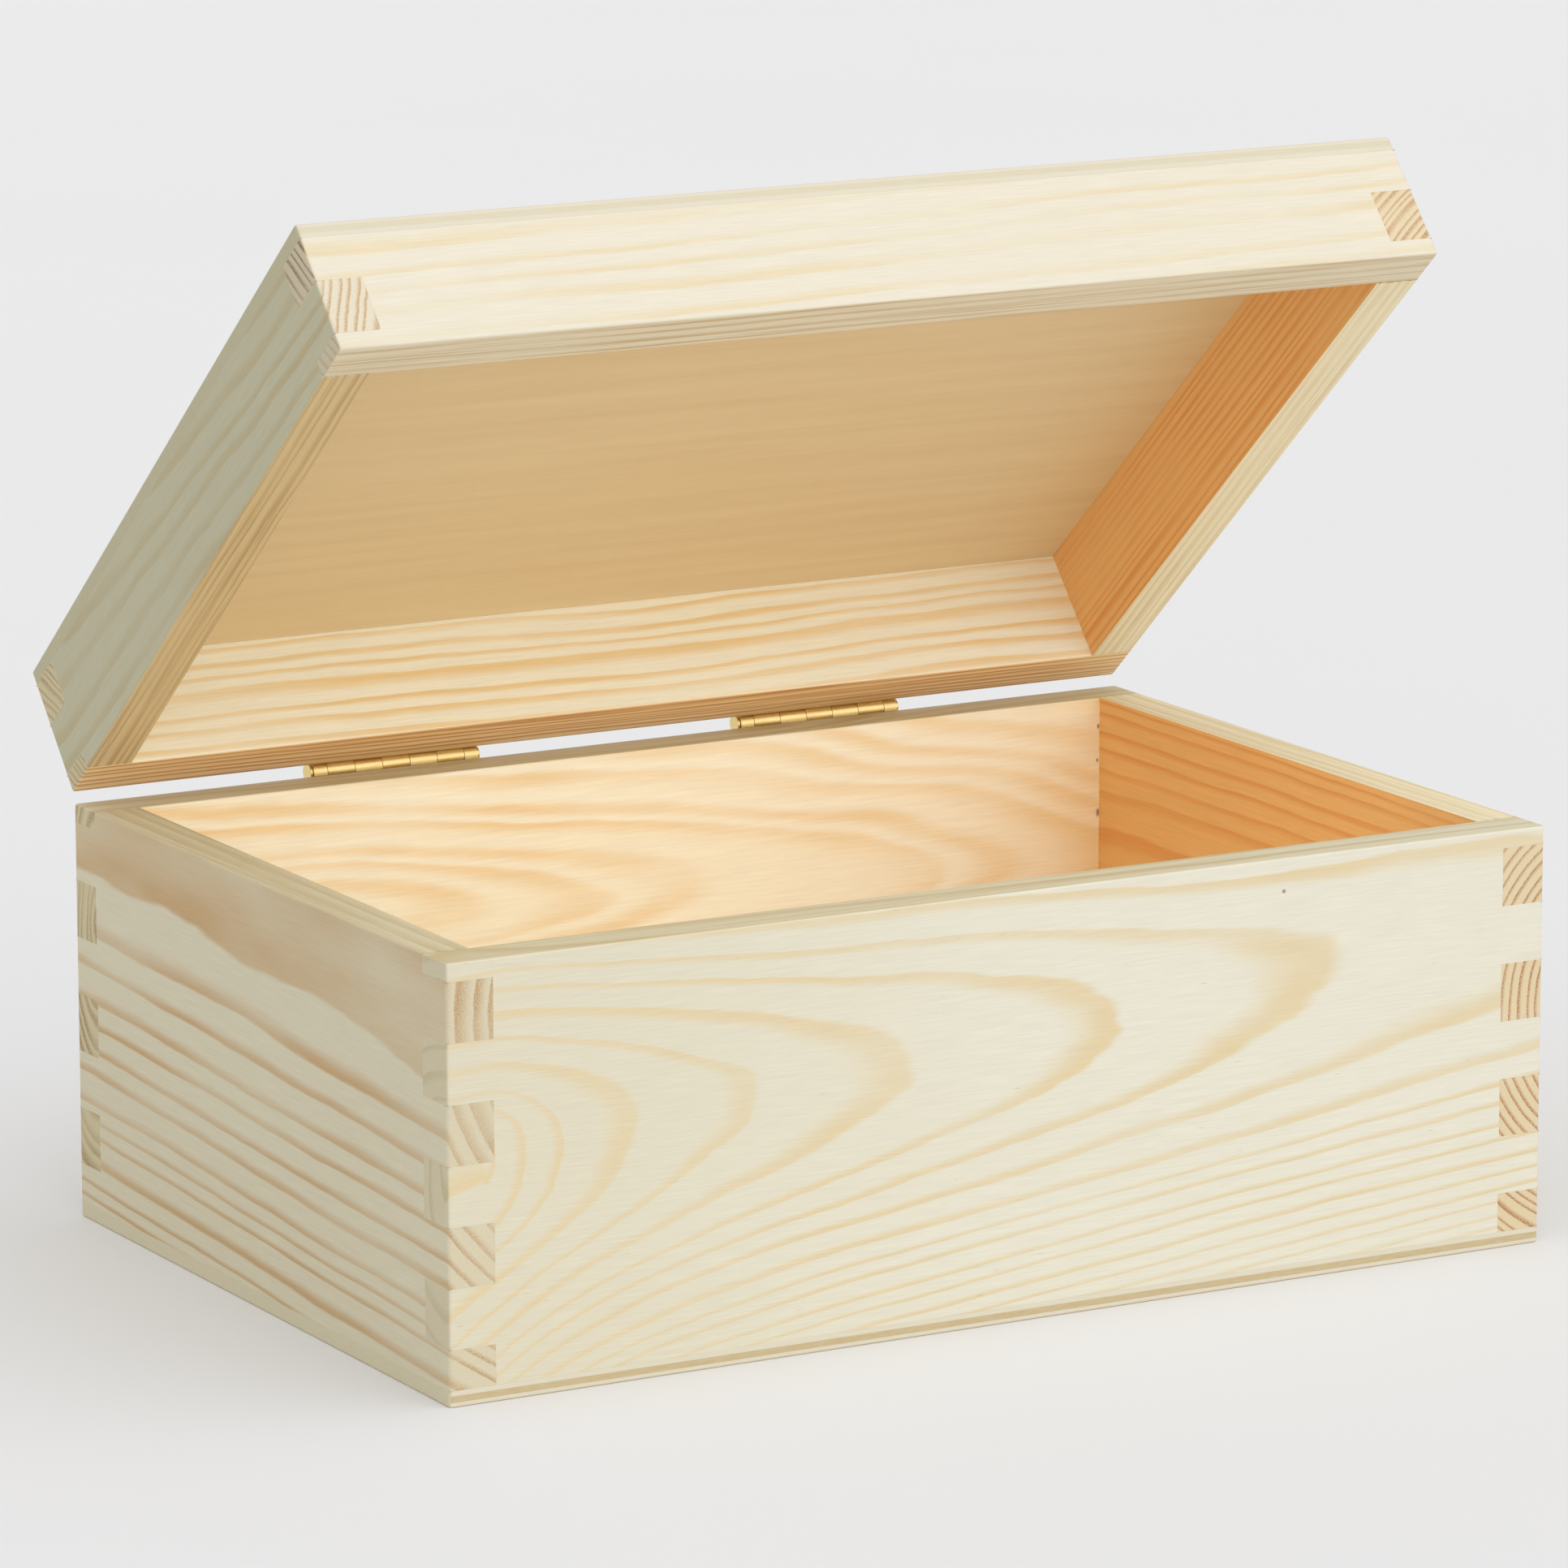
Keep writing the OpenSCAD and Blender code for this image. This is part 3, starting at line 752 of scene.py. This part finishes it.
# %% Hinge sizes, in millimetres
leaf_low, leaf_high = rest_box("right_base_leaf")
pin_low, pin_high = rest_box("right_hinge_pin")
screw_low, screw_high = rest_box("right_base_screw_2")
HINGE_X = (leaf_low.x + leaf_high.x) / 2
HINGE_L = leaf_high.x - leaf_low.x
LEAF_REACH = AXIS_Z - leaf_low.z
BARREL_R = leaf_high.y - AXIS_Y
SHEET = screw_high.y - WIDTH / 2
PIN_R = 1.55
PIN_HEAD_R, PIN_HEAD_L = (pin_high.z - pin_low.z) / 2, 0.7
PIN_END = (pin_high.x - pin_low.x) / 2
STAND_OFF = AXIS_Y - BARREL_R - WIDTH / 2
KNUCKLES, END_KNUCKLE, END_PLAY, RELIEF = 7, 3.8, 0.1, 0.35
BEND = 0.6
LEAF_CORNER = 1.5
ROLL, ROLL_STEPS = math.radians(302), 36
HEAD_R, SHANK_R, SCREW_CLEAR = (screw_high.x - screw_low.x) / 2, 1.1, 0.02
SCREW_L, SCREW_TIP = screw_high.y - screw_low.y, 1.6
SLOT_W, SLOT_DEPTH = 0.6, 0.45
LATHE_STEPS, HOLE_STEPS = 48, 32
METAL_EASE = 0.12

middle = (HINGE_L - 2 * END_KNUCKLE) / (KNUCKLES - 2)
BREAKS = [-HINGE_L / 2, *(-HINGE_L / 2 + END_KNUCKLE + middle * i for i in range(KNUCKLES - 1)),
          HINGE_L / 2]
print(f"hinge {HINGE_L:.1f} mm, barrel radius {BARREL_R:.2f}, sheet {SHEET:.2f}, "
      f"reach {LEAF_REACH:.1f}")

# %% Leaves


def leaf_outline(first):
    """A flat leaf's outline as (along, away from the axis), cut away for the other leaf's knuckles."""
    points = []
    for k, (a, b) in enumerate(zip(BREAKS, BREAKS[1:])):
        own = k % 2 == first
        play = END_PLAY / 2 if own else -END_PLAY / 2
        depth = BEND if own else BARREL_R + RELIEF
        points += [(a + play if k else a, depth), (b - play if k < KNUCKLES - 1 else b, depth)]
    for side, start in ((1, 0), (-1, 90)):
        for turn in range(start, start + 91, 15):
            turn = math.radians(turn)
            points.append((side * (HINGE_L / 2 - LEAF_CORNER) + LEAF_CORNER * math.cos(turn),
                           LEAF_REACH - LEAF_CORNER + LEAF_CORNER * math.sin(turn)))
    return points


def loop(bm, points):
    """A closed run of edges through the points."""
    verts = [bm.verts.new(point) for point in points]
    return [bm.edges.new((a, b)) for a, b in zip(verts, verts[1:] + verts[:1])]


def leaf(name, side, body, screws, material):
    """One leaf, with the lid shut. screws are the middles of its holes as (x, z)."""
    up = 1 if body == "lid" else -1
    bm = bmesh.new()
    face_y = WIDTH / 2 + SHEET
    hole_r, ring = HEAD_R + SCREW_CLEAR, [math.tau * i / HOLE_STEPS for i in range(HOLE_STEPS)]
    edges = loop(bm, [(side * HINGE_X + x, face_y, AXIS_Z + up * away)
                      for x, away in leaf_outline(int(up > 0))])
    for x, z in screws:
        edges += loop(bm, [(x + hole_r * math.cos(a), face_y, z + hole_r * math.sin(a))
                           for a in ring])
    bmesh.ops.triangle_fill(bm, use_beauty=True, edges=edges, normal=(0, 1, 0))
    grown = bmesh.ops.extrude_face_region(bm, geom=bm.faces[:])["geom"]
    on_wood = [g for g in grown if isinstance(g, bmesh.types.BMVert)]
    bmesh.ops.translate(bm, verts=on_wood, vec=(0, -SHEET, 0))
    for x, z in screws:                         # the countersinks narrow towards the wood
        for vert in on_wood:
            if abs(math.hypot(vert.co.x - x, vert.co.z - z) - hole_r) < TOUCH:
                vert.co.x = x + (vert.co.x - x) * (SHANK_R + SCREW_CLEAR) / hole_r
                vert.co.z = z + (vert.co.z - z) * (SHANK_R + SCREW_CLEAR) / hole_r
    ends = [f for f in bm.faces if all(abs(v.co.z - AXIS_Z - up * BEND) < TOUCH for v in f.verts)]
    grown = bmesh.ops.extrude_face_region(bm, geom=ends)["geom"]
    bmesh.ops.delete(bm, geom=ends, context="FACES_ONLY")
    bmesh.ops.translate(bm, verts=[g for g in grown if isinstance(g, bmesh.types.BMVert)],
                        vec=(0, STAND_OFF, -up * BEND))
    ends = [g for g in grown if isinstance(g, bmesh.types.BMFace)]
    bmesh.ops.spin(bm, geom=ends, cent=(0, AXIS_Y, AXIS_Z), axis=(1, 0, 0), angle=up * ROLL,
                   steps=ROLL_STEPS)
    bmesh.ops.delete(bm, geom=ends, context="FACES_ONLY")
    bmesh.ops.recalc_face_normals(bm, faces=bm.faces)
    odd = sum(not e.is_manifold for e in bm.edges)
    print(name, "faces", len(bm.faces), "open edges", odd)
    ease_metal(finish_piece(name, bm, material, body, name.replace("_brass", ""),
                            body == "lid"))


def ease_metal(piece):
    """Takes the sharpness off a metal piece's edges."""
    bevel = piece.modifiers.new("tumbled edges", "BEVEL")
    bevel.limit_method, bevel.angle_limit = "ANGLE", math.radians(50)
    bevel.width, bevel.segments, bevel.profile = METAL_EASE * MM, 2, 0.5
    bevel.harden_normals = True


# %% [markdown]
# ## Turned parts
# Pins and screws are turned, so each is a profile spun all the way round. A screw's driver slot is
# milled last: its head is divided along the slot's three planes, the metal between them is taken out
# and the walls and the floor are closed.

# %% Pins and screws


def turned(profile):
    """A solid spun around X from (along, radius) points."""
    bm = bmesh.new()
    verts = [bm.verts.new((along, 0, radius)) for along, radius in profile]
    edges = [bm.edges.new(pair) for pair in zip(verts, verts[1:])]
    bmesh.ops.spin(bm, geom=verts + edges, cent=(0, 0, 0), axis=(1, 0, 0), angle=math.tau,
                   steps=LATHE_STEPS, use_merge=True)
    bmesh.ops.remove_doubles(bm, verts=bm.verts, dist=1e-4)
    bmesh.ops.recalc_face_normals(bm, faces=bm.faces)
    return bm


def mill_slot(bm, half, depth):
    """Cuts a slot along Y into the end at x = 0."""
    planes = (((0, 0, half), (0, 0, 1)), ((0, 0, -half), (0, 0, 1)), ((depth, 0, 0), (1, 0, 0)))
    for at, facing in planes:
        bmesh.ops.bisect_plane(bm, geom=bm.verts[:] + bm.edges[:] + bm.faces[:], dist=1e-5,
                               plane_co=at, plane_no=facing)
    middles = {face: face.calc_center_median() for face in bm.faces}
    gone = [face for face, at in middles.items() if abs(at.z) < half and at.x < depth]
    bmesh.ops.delete(bm, geom=gone, context="FACES")
    rim = {v for e in bm.edges if e.is_boundary for v in e.verts}
    walls = [([v for v in rim if abs(v.co.z - z) < TOUCH / 10], 0, 1) for z in (half, -half)]
    walls.append(([v for v in rim if abs(v.co.x - depth) < TOUCH / 10], 1, 2))
    for verts, i, j in walls:
        centre = sum((v.co for v in verts), Vector()) / len(verts)
        verts.sort(key=lambda v: math.atan2(v.co[j] - centre[j], v.co[i] - centre[i]))
        bm.faces.new(verts)
    bmesh.ops.recalc_face_normals(bm, faces=bm.faces)


def pin(name, side, material):
    """A hinge pin with a flattened head at each end."""
    neck = PIN_END - PIN_HEAD_L
    half = [(PIN_END, 0), (PIN_END, PIN_HEAD_R), (neck, PIN_HEAD_R), (neck, PIN_R)]
    bm = turned(half + [(-along, radius) for along, radius in reversed(half)])
    bmesh.ops.translate(bm, verts=bm.verts, vec=(side * HINGE_X, AXIS_Y, AXIS_Z))
    ease_metal(finish_piece(name, bm, material, "base", name.replace("_brass", ""),
                            False))


def screw(name, x, z, body, material):
    """A countersunk screw driven into a back board at (x, z), with the lid shut."""
    bm = turned([(0, 0), (0, HEAD_R), (SHEET, SHANK_R), (SCREW_L - SCREW_TIP, SHANK_R),
                 (SCREW_L, 0)])
    mill_slot(bm, SLOT_W / 2, SLOT_DEPTH)
    bmesh.ops.rotate(bm, verts=bm.verts, cent=(0, 0, 0),
                     matrix=Matrix.Rotation(-math.pi / 2, 3, "Z"))
    bmesh.ops.translate(bm, verts=bm.verts, vec=(x, WIDTH / 2 + SHEET, z))
    odd = sum(not e.is_manifold for e in bm.edges)
    finish_piece(name, bm, material, body, name.replace("_plated", ""),
                 body == "lid")
    return odd


# %% Build the hinges
SHEET_TONES, PLATED_TONES = ("#f4dc9c", "#edcf88"), ("#efdba0", "#e6cd88")
sheets = {body: brass(f"barrelled sheet brass, {body}", SHEET_TONES, (9, 0.25, 0.25), body == "lid")
          for body in ("base", "lid")}
plated = {body: brass(f"brass-plated turned steel, {body}", PLATED_TONES, (0.3, 2, 0.3),
                      body == "lid")
          for body in ("base", "lid")}
drawn = brass("drawn brass wire", SHEET_TONES, (0.3, 3, 3), False)
for side, word in ((-1, "left"), (1, "right")):
    for body in ("base", "lid"):
        holes = []
        for i in (1, 2, 3):
            low, high = (rest_box if body == "base" else closed_box)(f"{word}_{body}_screw_{i}")
            holes.append(((low.x + high.x) / 2, (low.z + high.z) / 2))
            odd = screw(f"{word}_{body}_screw_{i}_plated", *holes[-1], body, plated[body])
        leaf(f"{word}_{body}_leaf_brass", side, body, holes, sheets[body])
    pin(f"{word}_hinge_pin_brass", side, drawn)
print("hinges: 2, screws: 12, open edges of a screw:", odd)
